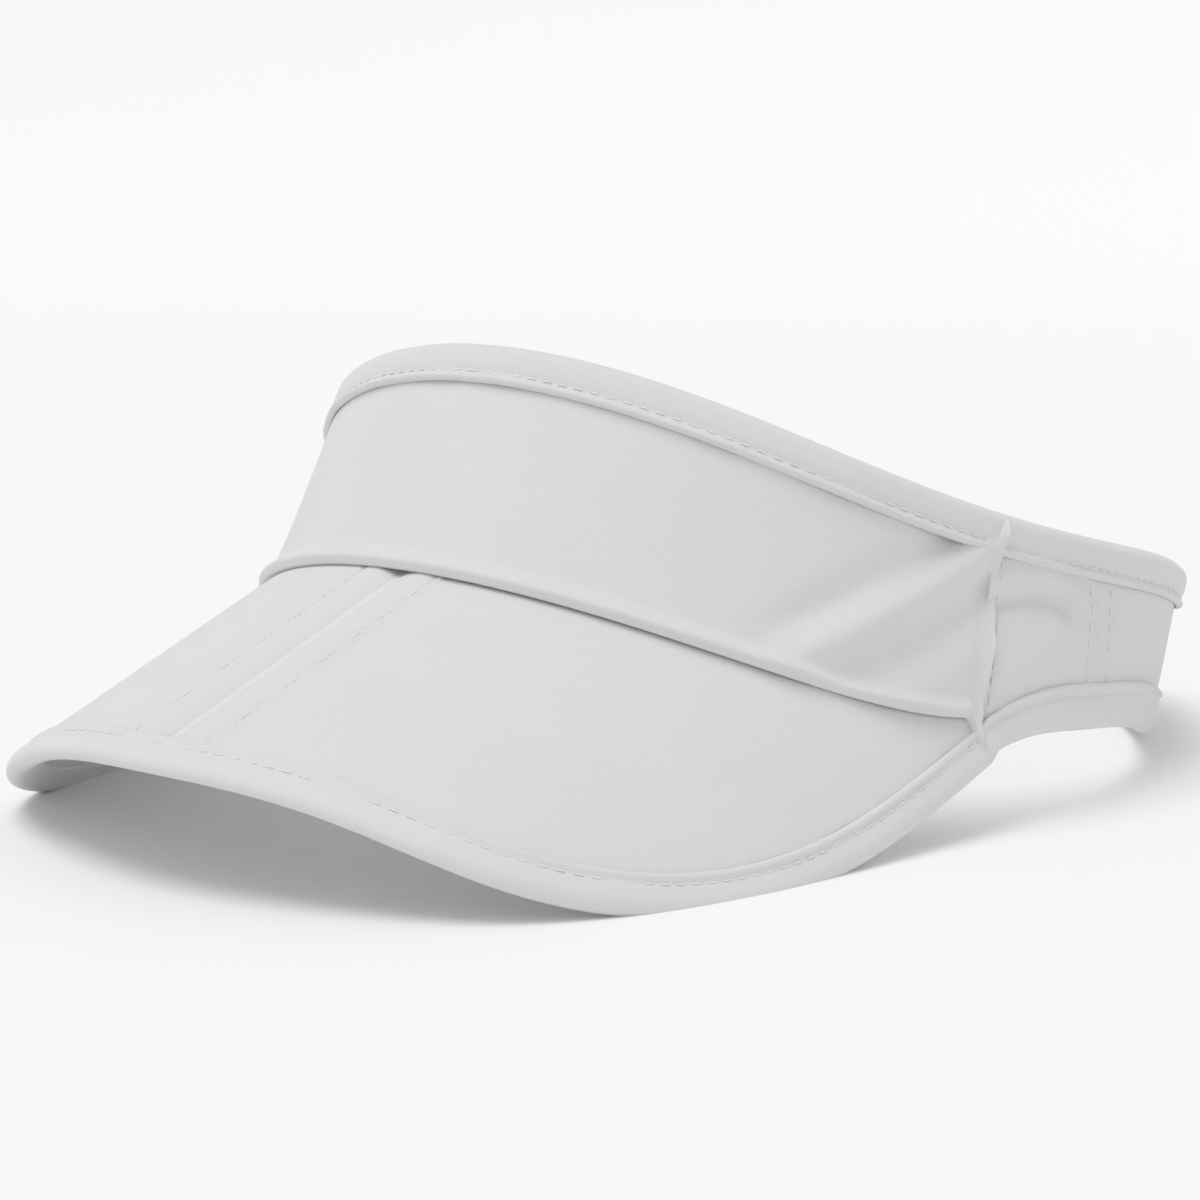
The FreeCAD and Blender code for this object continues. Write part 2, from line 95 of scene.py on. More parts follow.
# %% Brim surface, from the fold joint
fold = next(j for j in frame["record"]["behaviour"]["joints"] if j["name"] == "brim_fold_left")
BRIM_AHEAD = -np.array(fold["axis"], float)
BRIM_UP = np.cross(BRIM_AHEAD, ACROSS)
BRIM_RADIUS = 88.1
HINGE_DEPTH = 3.6
CREASE_TOP = np.array(fold["pos_m"]) / MM + BRIM_UP * HINGE_DEPTH
BRIM_CENTRE = CREASE_TOP - BRIM_UP * BRIM_RADIUS


def brim(across, ahead, depth=0.0):
    """Points of the brim in millimetres, depth counted outwards from the cover's upper face."""
    across, ahead, depth = np.broadcast_arrays(across, ahead, depth)
    turn = across / BRIM_RADIUS
    out = np.sin(turn)[..., None] * ACROSS + np.cos(turn)[..., None] * BRIM_UP
    return BRIM_CENTRE + ahead[..., None] * BRIM_AHEAD + (BRIM_RADIUS + depth)[..., None] * out


print("crease starts at", CREASE_TOP.round(2), "and runs", BRIM_AHEAD.round(3))

# %% [markdown]
# ## The edges
# Four curves set the visor's outline: the band's rim and hem, seen from the side; the seam where the band
# stands on the brim; and the brim's edge, drawn flat. A natural cubic spline through a few points is how
# a pattern cutter's French curve works, and it needs no more points than the edge has bends.

# %% Splines
UPPER_EDGE = [(-74.9, 102.4), (-61.4, 92.7), (-37.2, 77.0), (-18.9, 68.3), (4.1, 60.8),
              (55.2, 49.2), (89.0, 41.3), (127.1, 39.0)]
LOWER_EDGE = [(-22.6, 20.0), (-4.6, 23.3), (12.1, 22.2), (39.0, 18.2), (65.7, 11.4),
              (95.8, 8.7), (127.8, 9.2)]
BRIM_EDGE = [(-32.4, 61.5), (0, 66.6), (32.4, 61.5), (63.5, 50.6), (86.4, 27.4), (98.6, -2.7),
             (102.6, -32.7), (103.8, -60)]


def spline(xs, ys):
    """A natural cubic spline through points, as a function that also takes arrays."""
    xs, ys = np.asarray(xs, float), np.asarray(ys, float)
    count = len(xs)
    gaps = np.diff(xs)
    matrix, right = np.eye(count), np.zeros(count)
    for i in range(1, count - 1):
        matrix[i, i - 1:i + 2] = gaps[i - 1], 2 * (gaps[i - 1] + gaps[i]), gaps[i]
        right[i] = 6 * ((ys[i + 1] - ys[i]) / gaps[i] - (ys[i] - ys[i - 1]) / gaps[i - 1])
    bend = np.linalg.solve(matrix, right)

    def value(x):
        i = np.clip(np.searchsorted(xs, x) - 1, 0, count - 2)
        gap, before, after = gaps[i], np.asarray(x) - xs[i], xs[i + 1] - np.asarray(x)
        curved = (bend[i] * after ** 3 + bend[i + 1] * before ** 3) / (6 * gap)
        straight = (ys[i] / gap - bend[i] * gap / 6) * after
        straight = straight + (ys[i + 1] / gap - bend[i + 1] * gap / 6) * before
        return curved + straight
    return value


upper_side, lower_side = (
    spline([p[0] + BAND_CENTRE[1] for p in edge], [p[1] + BAND_CENTRE[2] for p in edge])
    for edge in (UPPER_EDGE, LOWER_EDGE))
edge_steps = np.concatenate([[0], np.cumsum(np.linalg.norm(np.diff(np.array(BRIM_EDGE), axis=0), axis=1))])
edge_steps -= edge_steps[1]
edge_across = spline(edge_steps, [p[0] for p in BRIM_EDGE])
edge_ahead = spline(edge_steps, [p[1] for p in BRIM_EDGE])
EDGE_LENGTH = edge_steps[-1]


def solve(function, low, high, rounds=40):
    """Where a rising function of the height crosses zero, by halving."""
    for _ in range(rounds):
        middle = (low + high) / 2
        below = function(middle) < 0
        low, high = np.where(below, middle, low), np.where(below, high, middle)
    return (low + high) / 2


def height_on(side_curve, angle):
    """The height along the band's axis at which the band crosses a side-view edge."""
    angle = np.abs(np.asarray(angle, float))

    def above(height):
        place = band(angle, height)
        return place[..., 2] - side_curve(place[..., 1])
    return solve(above, np.full(angle.shape, -10.0), np.full(angle.shape, 110.0))


def brim_coordinates(place):
    """Distance across, ahead and depth of a place, measured on the brim."""
    away = place - BRIM_CENTRE
    up, x = away @ BRIM_UP, away[..., 0]
    return BRIM_RADIUS * np.arctan2(x, up), away @ BRIM_AHEAD, np.hypot(x, up) - BRIM_RADIUS


def seam_height(angle, offset=0.0):
    """The height at which the band stands on the brim's upper face."""
    angle = np.abs(np.asarray(angle, float))
    low, high = np.full(angle.shape, -5.0), np.full(angle.shape, 60.0)
    return solve(lambda height: brim_coordinates(band(angle, height, offset))[2], low, high)


def rim(angle):
    return height_on(upper_side, angle)


def hem(angle):
    return height_on(lower_side, angle)


HORN_END = 50.0
angles = np.linspace(60, 95, 351)
seam_ahead = brim_coordinates(band(angles, seam_height(angles)))[1]
HORN_ANGLE = float(angles[np.argmax(seam_ahead < -HORN_END)])
SEAM_ANGLE_LOW, SEAM_ANGLE_HIGH = 74.0, 70.0
PANEL_END_X = 34.0
print(f"the brim's horn ends at {HORN_ANGLE:.1f} degrees; rim {rim(0.0):.1f} to {rim(150.0):.1f} mm")

# %% [markdown]
# ## Making cloth meshes
# Real cloth is thin but has two faces and a cut edge. A piece is built as two grids of points, outer and
# inner, joined round the border, so every mesh is closed and its stored lengths can steer the weave.

# %% Mesh helpers
def smoothstep(value):
    value = np.clip(value, 0, 1)
    return value * value * (3 - 2 * value)


def bump(value, centre, width):
    """A soft hill of height one."""
    return np.exp(-((value - centre) / width) ** 2)


def placed(name, data):
    """A new object in the scene."""
    thing = bpy.data.objects.new(name, data)
    bpy.context.scene.collection.objects.link(thing)
    return thing


def finish_mesh(name, points, faces, uv_lengths, sharp_angle=50):
    """A smooth-shaded mesh object in metres with a map of cloth lengths in millimetres."""
    mesh = bpy.data.meshes.new(name)
    mesh.from_pydata((np.asarray(points) * MM).tolist(), [], faces)
    layer = mesh.uv_layers.new(name="cloth")
    corners = np.empty(len(mesh.loops), int)
    mesh.loops.foreach_get("vertex_index", corners)
    layer.data.foreach_set("uv", np.asarray(uv_lengths)[corners].ravel())
    mesh.polygons.foreach_set("use_smooth", np.ones(len(mesh.polygons), bool))
    mesh.update()
    mesh.set_sharp_from_angle(angle=math.radians(sharp_angle))
    return placed(name, mesh)


def unit_grid(rows, columns, row_ease=1.0, column_ease=1.0):
    """Shares of the way along and up, for a grid of points."""
    return np.meshgrid(np.linspace(0, 1, rows) ** row_ease, np.linspace(0, 1, columns) ** column_ease,
                       indexing="ij")


def grid_lengths(grid):
    """Cloth lengths along a grid's rows and columns."""
    along = np.linalg.norm(np.diff(grid, axis=0), axis=-1).mean(axis=1)
    up = np.linalg.norm(np.diff(grid, axis=1), axis=-1).mean(axis=0)
    u, v = np.concatenate([[0], np.cumsum(along)]), np.concatenate([[0], np.cumsum(up)])
    return np.stack(np.meshgrid(u, v, indexing="ij"), axis=-1)


def outward(points, faces):
    """The faces, turned round if the closed shell is inside out."""
    corners = np.array([face if len(face) == 4 else (*face, face[0]) for face in faces])
    a, b, c, d = (np.asarray(points)[corners[:, k]] for k in range(4))
    volume = float((a * np.cross(b, c)).sum() + (a * np.cross(c, d)).sum())
    return faces if volume > 0 else [tuple(reversed(face)) for face in faces]


def cloth(name, outer, inner):
    """A closed thin piece between two grids of points."""
    rows, columns = outer.shape[:2]
    count = rows * columns
    at = np.arange(count).reshape(rows, columns)
    a, b, c, d = at[:-1, :-1], at[1:, :-1], at[1:, 1:], at[:-1, 1:]
    front = np.stack([a, b, c, d], -1).reshape(-1, 4)
    faces = [tuple(f) for f in front.tolist()] + [tuple(f) for f in (front[:, ::-1] + count).tolist()]
    border = np.concatenate([at[0, :], at[1:, -1], at[-1, -2::-1], at[-2:0:-1, 0]])
    after = np.roll(border, -1)
    faces += [tuple(f) for f in np.stack([border, after, after + count, border + count], -1).tolist()]
    points = np.concatenate([outer.reshape(-1, 3), inner.reshape(-1, 3)])
    lengths = grid_lengths(outer).reshape(-1, 2)
    return finish_mesh(name, points, outward(points, faces), np.concatenate([lengths, lengths]))


def swept(name, sections, sharp_angle=60):
    """A closed piece through closed sections: an array of path by profile points."""
    path, profile = sections.shape[:2]
    at = np.arange(path * profile).reshape(path, profile)
    a, b = at[:-1], at[1:]
    sides = np.stack([a, b, np.roll(b, -1, axis=1), np.roll(a, -1, axis=1)], -1).reshape(-1, 4)
    points = sections.reshape(-1, 3)
    faces = [tuple(f) for f in sides.tolist()]
    half = profile // 2
    for end, flip in ((0, False), (path - 1, True)):
        for i in range(half - 1):
            cap = (at[end, i], at[end, i + 1], at[end, profile - 2 - i], at[end, profile - 1 - i])
            faces.append(tuple(int(k) for k in (reversed(cap) if flip else cap)))
    lengths = grid_lengths(sections).reshape(-1, 2)
    return finish_mesh(name, points, outward(points, faces), lengths, sharp_angle)


def mirror(points):
    """The same points on the wearer's other side."""
    return points * np.array([-1.0, 1, 1])


# %% [markdown]
# ## How the pieces would move
# When the brim folds on its crease the cloth band gives way with it. Pieces of the front would turn with
# their brim half except round the top centre, and the side pieces would lose that turn gradually towards the
# rear, which stays still. Here each piece's transform is only baked into its mesh; the ramps for that turn
# are worked out but not used.

# %% Motion helpers
FOLD_WIDTH = 11.5
FRONT_SLANT = 1.0
FRONT_RAMP = 25.0
SIDE_RAMP = (14.0, 104.0)


def blend_side(piece, side, kind):
    """Bake a piece's transform into its mesh; the ramp between the band and its brim half, set by the kind
    (crease, front or side), is worked out but not used.
    """
    sign = 1 if side == "left" else -1
    half = f"brim_{side}_half"
    bodies, start = ("band", half), CREASE_TOP
    if kind == "crease":
        end = start + ACROSS * sign * FOLD_WIDTH
    elif kind == "front":
        way = ACROSS * sign - np.array([0, 0, FRONT_SLANT])
        end = start + way / (way @ way) * FRONT_RAMP
    else:
        bodies = (half, "band")
        start, end = (np.array([0, place, 0]) for place in SIDE_RAMP)
    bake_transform(piece)


def dress(piece, material, slot, *nodes):
    """Give a piece its material and hide the plain solids that it stands for; the slot is not used."""
    piece.data.materials.clear()
    piece.data.materials.append(material)
    if nodes:
        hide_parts(*nodes)


# %% [markdown]
# ## Cloth that looks like cloth
# The shell is a smooth, tightly woven performance cloth: matt, with a weave too fine to count and a faint
# unevenness of tone. The weave is two crossed waves along the piece's own cloth lengths, so it follows
# each panel; the unevenness is a broad noise. Both are groups of nodes, because every cloth here uses
# them at its own scale.

# %% Shader groups
def new_tree(name, kind, inputs, outputs):
    """An empty node tree with named sockets, and its input and output nodes."""
    tree = bpy.data.node_groups.new(name, kind)
    for label, socket_kind, *default in inputs:
        socket = tree.interface.new_socket(name=label, in_out="INPUT", socket_type=socket_kind)
        if default:
            socket.default_value = default[0]
    for label, socket_kind in outputs:
        tree.interface.new_socket(name=label, in_out="OUTPUT", socket_type=socket_kind)
    return tree, tree.nodes.new("NodeGroupInput"), tree.nodes.new("NodeGroupOutput")


def math_node(tree, operation, first, second=None):
    """A Math node; each value is a socket or a number."""
    node = tree.nodes.new("ShaderNodeMath")
    node.operation = operation
    for socket, value in zip(node.inputs, (first, second)):
        if isinstance(value, bpy.types.NodeSocket):
            tree.links.new(value, socket)
        elif value is not None:
            socket.default_value = value
    return node.outputs[0]


def weave_group():
    """Height of a plain weave, from cloth lengths in millimetres."""
    group, taken, given = new_tree(
        "weave", "ShaderNodeTree", [("Lengths", "NodeSocketVector"), ("Thread", "NodeSocketFloat", 0.4)],
        [("Height", "NodeSocketFloat")])
    split = group.nodes.new("ShaderNodeSeparateXYZ")
    group.links.new(taken.outputs["Lengths"], split.inputs[0])
    turn = math_node(group, "DIVIDE", math.pi, taken.outputs["Thread"])
    warp = math_node(group, "SINE", math_node(group, "MULTIPLY", split.outputs[0], turn))
    weft = math_node(group, "SINE", math_node(group, "MULTIPLY", split.outputs[1], turn))
    crossed = math_node(group, "MULTIPLY", warp, weft)
    group.links.new(math_node(group, "MULTIPLY_ADD", crossed, 0.5), given.inputs["Height"])
    return group


def uneven_group():
    """A broad, soft unevenness of tone and surface."""
    group, taken, given = new_tree(
        "unevenness", "ShaderNodeTree", [("Place", "NodeSocketVector"), ("Scale", "NodeSocketFloat", 45.0)],
        [("Tone", "NodeSocketFloat"), ("Height", "NodeSocketFloat")])
    for scale_times, detail, label in ((1.0, 3.0, "Tone"), (9.0, 2.0, "Height")):
        noise = group.nodes.new("ShaderNodeTexNoise")
        noise.inputs["Detail"].default_value = detail
        group.links.new(taken.outputs["Place"], noise.inputs["Vector"])
        scaled = math_node(group, "MULTIPLY", taken.outputs["Scale"], scale_times)
        group.links.new(scaled, noise.inputs["Scale"])
        group.links.new(noise.outputs["Fac"], given.inputs[label])
    return group


WEAVE, UNEVEN = weave_group(), uneven_group()


# %% Materials
def cloth_material(name, colour, thread, weave_depth, roughness=0.85, sheen=0.15, tone_range=0.03):
    """A woven cloth; the thread is in millimetres and the weave's depth in metres."""
    material = bpy.data.materials.new(name)
    material.use_nodes = True
    tree = material.node_tree
    shader = tree.nodes["Principled BSDF"]
    shader.inputs["Roughness"].default_value = roughness
    shader.inputs["Sheen Weight"].default_value = sheen
    shader.inputs["Sheen Roughness"].default_value = 0.6
    shader.inputs["Specular IOR Level"].default_value = 0.25
    lengths = tree.nodes.new("ShaderNodeUVMap")
    lengths.uv_map = "cloth"
    coordinates = tree.nodes.new("ShaderNodeTexCoord")
    weave, uneven = tree.nodes.new("ShaderNodeGroup"), tree.nodes.new("ShaderNodeGroup")
    weave.node_tree, uneven.node_tree = WEAVE, UNEVEN
    weave.inputs["Thread"].default_value = thread
    tree.links.new(lengths.outputs["UV"], weave.inputs["Lengths"])
    tree.links.new(coordinates.outputs["Object"], uneven.inputs["Place"])
    mix = tree.nodes.new("ShaderNodeMix")
    mix.data_type = "RGBA"
    mix.inputs["A"].default_value = (*[c * (1 - tone_range) for c in colour], 1)
    mix.inputs["B"].default_value = (*[min(c * (1 + tone_range), 1) for c in colour], 1)
    tree.links.new(uneven.outputs["Tone"], mix.inputs["Factor"])
    tree.links.new(mix.outputs["Result"], shader.inputs["Base Color"])
    fine = tree.nodes.new("ShaderNodeBump")
    fine.inputs["Strength"].default_value = 0.6
    fine.inputs["Distance"].default_value = weave_depth
    tree.links.new(weave.outputs["Height"], fine.inputs["Height"])
    broad = tree.nodes.new("ShaderNodeBump")
    broad.inputs["Strength"].default_value = 0.35
    broad.inputs["Distance"].default_value = 0.0002
    tree.links.new(uneven.outputs["Height"], broad.inputs["Height"])
    tree.links.new(fine.outputs["Normal"], broad.inputs["Normal"])
    tree.links.new(broad.outputs["Normal"], shader.inputs["Normal"])
    return material


WHITE = (0.70, 0.70, 0.705)
SHELL = cloth_material("shell_cloth", WHITE, 0.35, 0.00003)
BINDING = cloth_material("binding_cloth", WHITE, 0.35, 0.00003)
LINING = cloth_material("lining_cloth", (0.74, 0.74, 0.745), 0.5, 0.00005)
INTERLINING = cloth_material("interlining_cloth", (0.72, 0.72, 0.70), 0.9, 0.00004)
TOWEL = cloth_material("sweatband_towelling", (0.76, 0.76, 0.76), 1.1, 0.0003, roughness=0.95, sheen=0.4)
ELASTIC = cloth_material("covered_elastic", (0.75, 0.75, 0.74), 1.3, 0.00015)
WEBBING = cloth_material("strap_webbing", (0.76, 0.76, 0.76), 1.0, 0.00015, roughness=0.7)
PILE = cloth_material("loop_pile", (0.74, 0.74, 0.74), 0.7, 0.0004, roughness=0.95, sheen=0.5)
HOOKS = cloth_material("hook_tape", (0.73, 0.73, 0.73), 1.6, 0.0001, roughness=0.45, sheen=0.0)
LABEL = cloth_material("label_tape", (0.82, 0.82, 0.82), 0.3, 0.00003, roughness=0.5)
BOARD = cloth_material("brim_stiffener", (0.76, 0.76, 0.74), 2.5, 0.00002, roughness=0.5, sheen=0.0)
THREAD = cloth_material("thread", (0.80, 0.80, 0.80), 0.25, 0.00003, roughness=0.6, sheen=0.3)

# %% [markdown]
# ## The front of the band
# One panel runs round the forehead. Its lower edge is turned in a soft roll where it meets the brim, its
# rear edge is lapped over the side panel as a narrow raised edge, and the cloth drags in slanting folds
# towards that seam. It is cut in two here only at the centre, one half for each side.

# %% Front panel
BAND_CLOTH_TOP = 1.3  # how far below the rim the cloth ends, inside the binding
HEM_COVER = 2.0  # how far above the hem it ends
SEAM_GAP = 0.15
SIDES = (("left", lambda points: points), ("right", mirror))


def seam_angle(up_part):
    """The side seam's angle, which leans back towards the top."""
    return SEAM_ANGLE_LOW + (SEAM_ANGLE_HIGH - SEAM_ANGLE_LOW) * up_part


def cloth_low(angle):
    """The lower border of the cloth, which goes from the brim's seam into the lower binding."""
    on_brim = seam_height(np.minimum(angle, HORN_ANGLE)) + SEAM_GAP
    in_binding = hem(angle) + HEM_COVER
    return on_brim + (in_binding - on_brim) * smoothstep((angle - HORN_ANGLE + 0.5) / 4)


def front_grid(offset, rows=150, columns=64, gap=0.0, short=0.0):
    """A grid of the band between the centre and the side seam."""
    i, j = unit_grid(rows, columns, column_ease=1.25)
    angle = i * (seam_angle(j) - short)
    low = cloth_low(angle) + gap
    height = low + (rim(angle) - BAND_CLOTH_TOP - low) * j
    ahead_of_seam = (1 - i) * FRONT_LENGTH
    return band(angle, height, offset(ahead_of_seam, height - low, angle))


def drag_folds(ahead, up):
    """Slanting folds that run down and forwards from the side seam."""
    slant = 0.77 * (up + 0.83 * ahead - 35.0)
    fade = smoothstep((52 - ahead) / 20) * smoothstep((up + 2) / 8)
    folds = 1.5 * bump(slant, 0.0, 3.4) - 1.3 * bump(slant, 5.8, 3.4)
    folds += 0.7 * bump(slant, -15.5, 4.0) - 1.4 * bump(slant, -7.4, 3.6)
    return folds * fade


def front_offset(ahead, up, angle):
    """The outer face: lower roll, turned rear edge, folds and a slow swell."""
    roll = 1.55 * bump(up, 1.5, 1.5) + 0.55 * np.exp(-np.maximum(up - 1.5, 0) / 4.5)
    roll = roll * (1 - smoothstep((angle - HORN_ANGLE - 1) / 4))
    wave = 1 + 0.35 * np.sin(up * 0.55) + 0.2 * np.sin(up * 1.3 + 1)
    flare = 1 + 0.4 * np.exp(-up / 5)
    turned = 0.85 * wave * bump(ahead, 0.9, 0.9 * flare) - 0.35 * bump(ahead, 2.9, 1.3)
    swell = 0.22 * np.sin(angle * 0.11 + 0.6) * np.sin(up * 0.09)
    return roll + turned + swell + drag_folds(ahead, up)


def layer(outer_offset, thickness, relief=front_offset, share=1.0):
    """Outer and inner offset functions of one layer that follows the outer face."""
    return [lambda *place, depth=depth: depth + share * relief(*place)
            for depth in (outer_offset, outer_offset - thickness)]


def inner_relief(ahead, up, angle):
    """How far the layers under the panel follow its folds."""
    return np.minimum(drag_folds(ahead, up), 0)


front_layers = [
    ("front_panel", SHELL, "shell_cloth", layer(0.0, 0.8), 0.0, 0.0),
    ("front_interlining", INTERLINING, "interlining", layer(-0.95, 0.7, inner_relief), 1.05, 1.0),
    ("front_lining", LINING, "lining_cloth", layer(-1.95, 0.8, inner_relief), 0.45, 0.5),
]
for node, material, slot, (outer, inner), gap, short in front_layers:
    shape = front_grid(outer, gap=gap, short=short)
    for side, place in SIDES:
        piece = cloth(f"{node}_{side}", place(shape), place(front_grid(inner, gap=gap, short=short)))
        dress(piece, material, slot, node)
        blend_side(piece, side, "front")
print("front layers:", [row[0] for row in front_layers])

# %% [markdown]
# ## The side panels
# Behind the seam the band narrows to the rear. The cloth here is slack: an arched crease under the rim, a
# fuller patch below it, and shallow upright dents where a box of stitches holds the elastic inside.

# %% Side panel
BOX_STITCH_ANGLES = (86.5, 88.6, 91.0)
BOX_LEAN = 4.5


def rear_angle(x, height, offset=0.0):
    """The band's angle at a distance across, on the rear wall."""
    return 180 - np.degrees(np.arcsin(x / (between(HALF_WIDTHS, height) + offset)))


def side_grid(offset, start_shift=0.0, rows=150, columns=48, first_angle=None):
    """A grid of the band from the side seam to the panel's rear end."""
    i, j = unit_grid(rows, columns)
    start = seam_angle(j) - start_shift if first_angle is None else np.full(j.shape, first_angle)
    end = rear_angle(PANEL_END_X, rim(150.0) - 8)
    angle = start + (end - start) * i
    low = cloth_low(angle)
    height = low + (rim(angle) - BAND_CLOTH_TOP - low) * j
    behind = (angle - seam_angle(j)) * MM_PER_DEGREE
    return band(angle, height, offset(behind, height - low, rim(angle) - height, angle))


def side_offset(behind, up, down, angle):
    """The outer face of a side panel."""
    arch = down - 11.5 - 0.035 * (behind - 11) ** 2
    relief = -1.7 * bump(arch, 2.0, 2.2) * smoothstep((24 - behind) / 8)
    relief = relief + 0.55 * bump(arch, -2.5, 2.5) * (behind < 26)
    relief = relief + 1.6 * bump(behind, 10.0, 7.0) * bump(up, 16.0, 6.5)
    upright = angle - BOX_LEAN * down / (up + down)
    for place in BOX_STITCH_ANGLES:
        dent = smoothstep((down - 8) / 3) * smoothstep((up - 3) / 4)
        relief = relief - 0.28 * bump(upright, place, 0.45) * dent
    relief = relief + 0.35 * bump(angle, 84.2, 1.2)
    relief = relief + 0.15 * np.sin(angle * 0.16) * np.sin(up * 0.14)
    relief = relief * smoothstep((up - 6.0) / 4)
    return relief - 0.45 * np.exp(-np.maximum(behind, 0) / 1.6)


def side_inner_relief(behind, up, down, angle):
    """The hidden layers only give way where the cloth dips."""
    return np.minimum(side_offset(behind, up, down, angle), 0)


side_layers = [
    ("side_panel", SHELL, "shell_cloth", layer(0.0, 0.8, side_offset), dict(start_shift=1.2)),
    ("side_lining", LINING, "lining_cloth", layer(-2.05, 0.75, side_inner_relief, 0.8), {}),
    ("rear_elastic", ELASTIC, "elastic", layer(-1.05, 0.75, side_inner_relief, 0.9), dict(first_angle=88.0)),
]
for node, material, slot, (outer, inner), shape in side_layers:
    for side, place in SIDES:
        face, inside = side_grid(outer, **shape), side_grid(inner, **shape)
        piece = cloth(f"{node}_{side}_cloth", place(face), place(inside))
        dress(piece, material, slot, f"{node}_{side}")
        blend_side(piece, side, "side")
print("side layers:", [row[0] for row in side_layers])

# %% [markdown]
# ## Bindings
# Every raw edge is wrapped in a strip folded round it: a thin turned edge shows as a ridge, a row of
# stitches sinks just beside it, and the fold itself is round and soft. One profile, swept along each
# edge, makes them all.

# %% Binding profile
def binding_profile(width, out, inn, edge_out, ridge, round_start=3.2, wall=0.85):
    """Closed section: distance outwards past the edge, and offset from the cloth's face."""
    middle, half = (out + inn) / 2, (out - inn) / 2
    top = [(-width, out * 0.35), (-width + 0.1, out * 0.75), (-width + 0.55, out + ridge),
           (-width + 1.1, out + ridge * 0.8), (-width + 1.6, out * 0.75), (-width + 2.0, out * 0.62),
           (-width + 2.4, out * 0.72), (-width + 3.2, out * 1.0)]
    turn = np.radians(np.linspace(90, -90, 17))
    reach = round_start + edge_out
    fold_out = [(-round_start + reach * math.cos(a), middle + half * math.sin(a)) for a in turn]
    under = [(-width + 3.2, inn), (-width + 2.2, inn * 0.97), (-width + 1.0, inn - ridge * 0.6),
             (-width + 0.2, inn * 0.98)]
    outer = top + fold_out + under
    inside = []
    for index, (away, offset) in enumerate(outer):
        share = (offset - middle) / half
        deep = max(away - wall * math.cos(math.asin(np.clip(share, -1, 1))), -width)
        inside.append((deep, middle + np.clip(share, -1, 1) * (half - wall)))
    inside[0] = (-width, outer[0][1] - 0.2)
    return np.array(outer + inside[::-1])


# %% Top binding
TOP_WIDTH = 7.9
TOP_PROFILE = binding_profile(TOP_WIDTH, 1.2, -4.0, 0.0, 0.22, round_start=2.2)
LOW_WIDTH = 9.4
LOW_PROFILE = binding_profile(LOW_WIDTH, 1.0, -4.0, 0.0, 0.3)
HEM_WIDTH = 6.8
HEM_PROFILE = binding_profile(HEM_WIDTH, 0.65, -3.35, 0.35, 0.22, round_start=2.4, wall=0.5)


def top_sections(angles):
    """The top binding's sections at angles along the rim."""
    angle = np.asarray(angles)[:, None]
    slack = 0.12 * np.sin(angle * 0.35) * np.sin(angle * 0.083 + 1)
    height = rim(angle) + TOP_PROFILE[None, :, 0]
    return band(angle, height, TOP_PROFILE[None, :, 1] + slack * (TOP_PROFILE[None, :, 1] > 0))


MIDDLE_SEAM = seam_angle(1.0)
PANEL_END = float(rear_angle(PANEL_END_X, rim(150.0) - 8))
for side, place in SIDES:
    for part, first, last in (("front", 0.0, MIDDLE_SEAM), ("side", MIDDLE_SEAM, PANEL_END)):
        sections = top_sections(np.linspace(first, last, 120))
        piece = swept(f"top_binding_{part}_{side}", place(sections))
        dress(piece, BINDING, "binding_cloth", "top_binding")
        blend_side(piece, side, part)
print(f"top binding to {PANEL_END:.1f} degrees")

# %% [markdown]
# ## The brim
# Two boards lie between an upper and a lower cover. Between the two rows of stitches beside the crease
# there is no board, so the cloth sinks a little into the fold. Each cover is a grid that runs from the
# band to the edge.

# %% Brim covers
COVER_TUCK = 1.4
CREASE_ROW = 8.3  # from the crease to the row of stitches beside it


def edge_place(steps, outwards=0.0):
    """Places on the brim's flat edge, moved outwards square to it."""
    small = 0.01
    across, ahead = edge_across(steps), edge_ahead(steps)
    along = np.stack([edge_across(steps + small) - across, edge_ahead(steps + small) - ahead], -1)
    along /= np.linalg.norm(along, axis=-1, keepdims=True)
    return across - along[..., 1] * outwards, ahead + along[..., 0] * outwards


steps_to_end = np.linspace(0, EDGE_LENGTH, 2001)
HORN_STEP = float(steps_to_end[np.argmax(edge_ahead(steps_to_end) < -HORN_END)])
seam_angles = np.linspace(0, HORN_ANGLE, 400)
seam_across, seam_reach, _ = brim_coordinates(band(seam_angles, seam_height(seam_angles, -2.2), -2.2))
order = np.argsort(seam_across)


def seam_reach_at(across):
    """How far ahead the band's inner face crosses the brim, for a distance across."""
    return np.maximum(np.interp(across, seam_across[order], seam_reach[order]), -HORN_END)


def crease_relief(across, ahead):
    """The fold's dip, the stitch rows' dents and the lapped edge beside the left row."""
    away = np.abs(across)
    dip = -1.15 * np.exp(-away / 1.1) - 0.45 * bump(away, 0, 5.0)
    rows = -0.3 * bump(away, CREASE_ROW, 0.5)
    lap = -0.28 * smoothstep((across - 9.35) / 0.35)
    puff = 0.25 * bump(away, 4.8, 2.2)
    return dip + rows + lap + puff + 0.28


def brim_grid(depth, tuck, rows=150, columns=70, relief=None):
    """A grid of one brim half between the band and its edge."""
    i, j = unit_grid(rows, columns, row_ease=1.35)
    rim_across, rim_ahead = edge_place(i * HORN_STEP, -tuck)
    inner_across = i * (edge_place(np.array(HORN_STEP), -tuck)[0] - 2.0)
    inner_ahead = seam_reach_at(inner_across)
    across = inner_across + (rim_across - inner_across) * j
    ahead = np.maximum(inner_ahead + (rim_ahead - inner_ahead) * j, -HORN_END)
    across = np.maximum(across, 0)
    lift = relief(across, ahead) if relief else 0.0
    return brim(across, ahead, depth + lift)


def top_relief(across, ahead):
    return crease_relief(across, ahead) * smoothstep((67 - ahead) / 6 + 0.25)


def mirrored_relief(across, ahead):
    """The right half has no lapped edge."""
    return top_relief(-np.abs(across), ahead)


def under_relief(across, ahead):
    """Between the boards the two rows of stitches pull the lower cover up to the upper one."""
    return 1.4 * (1 - smoothstep((np.abs(across) - 8.2) / 1.6))


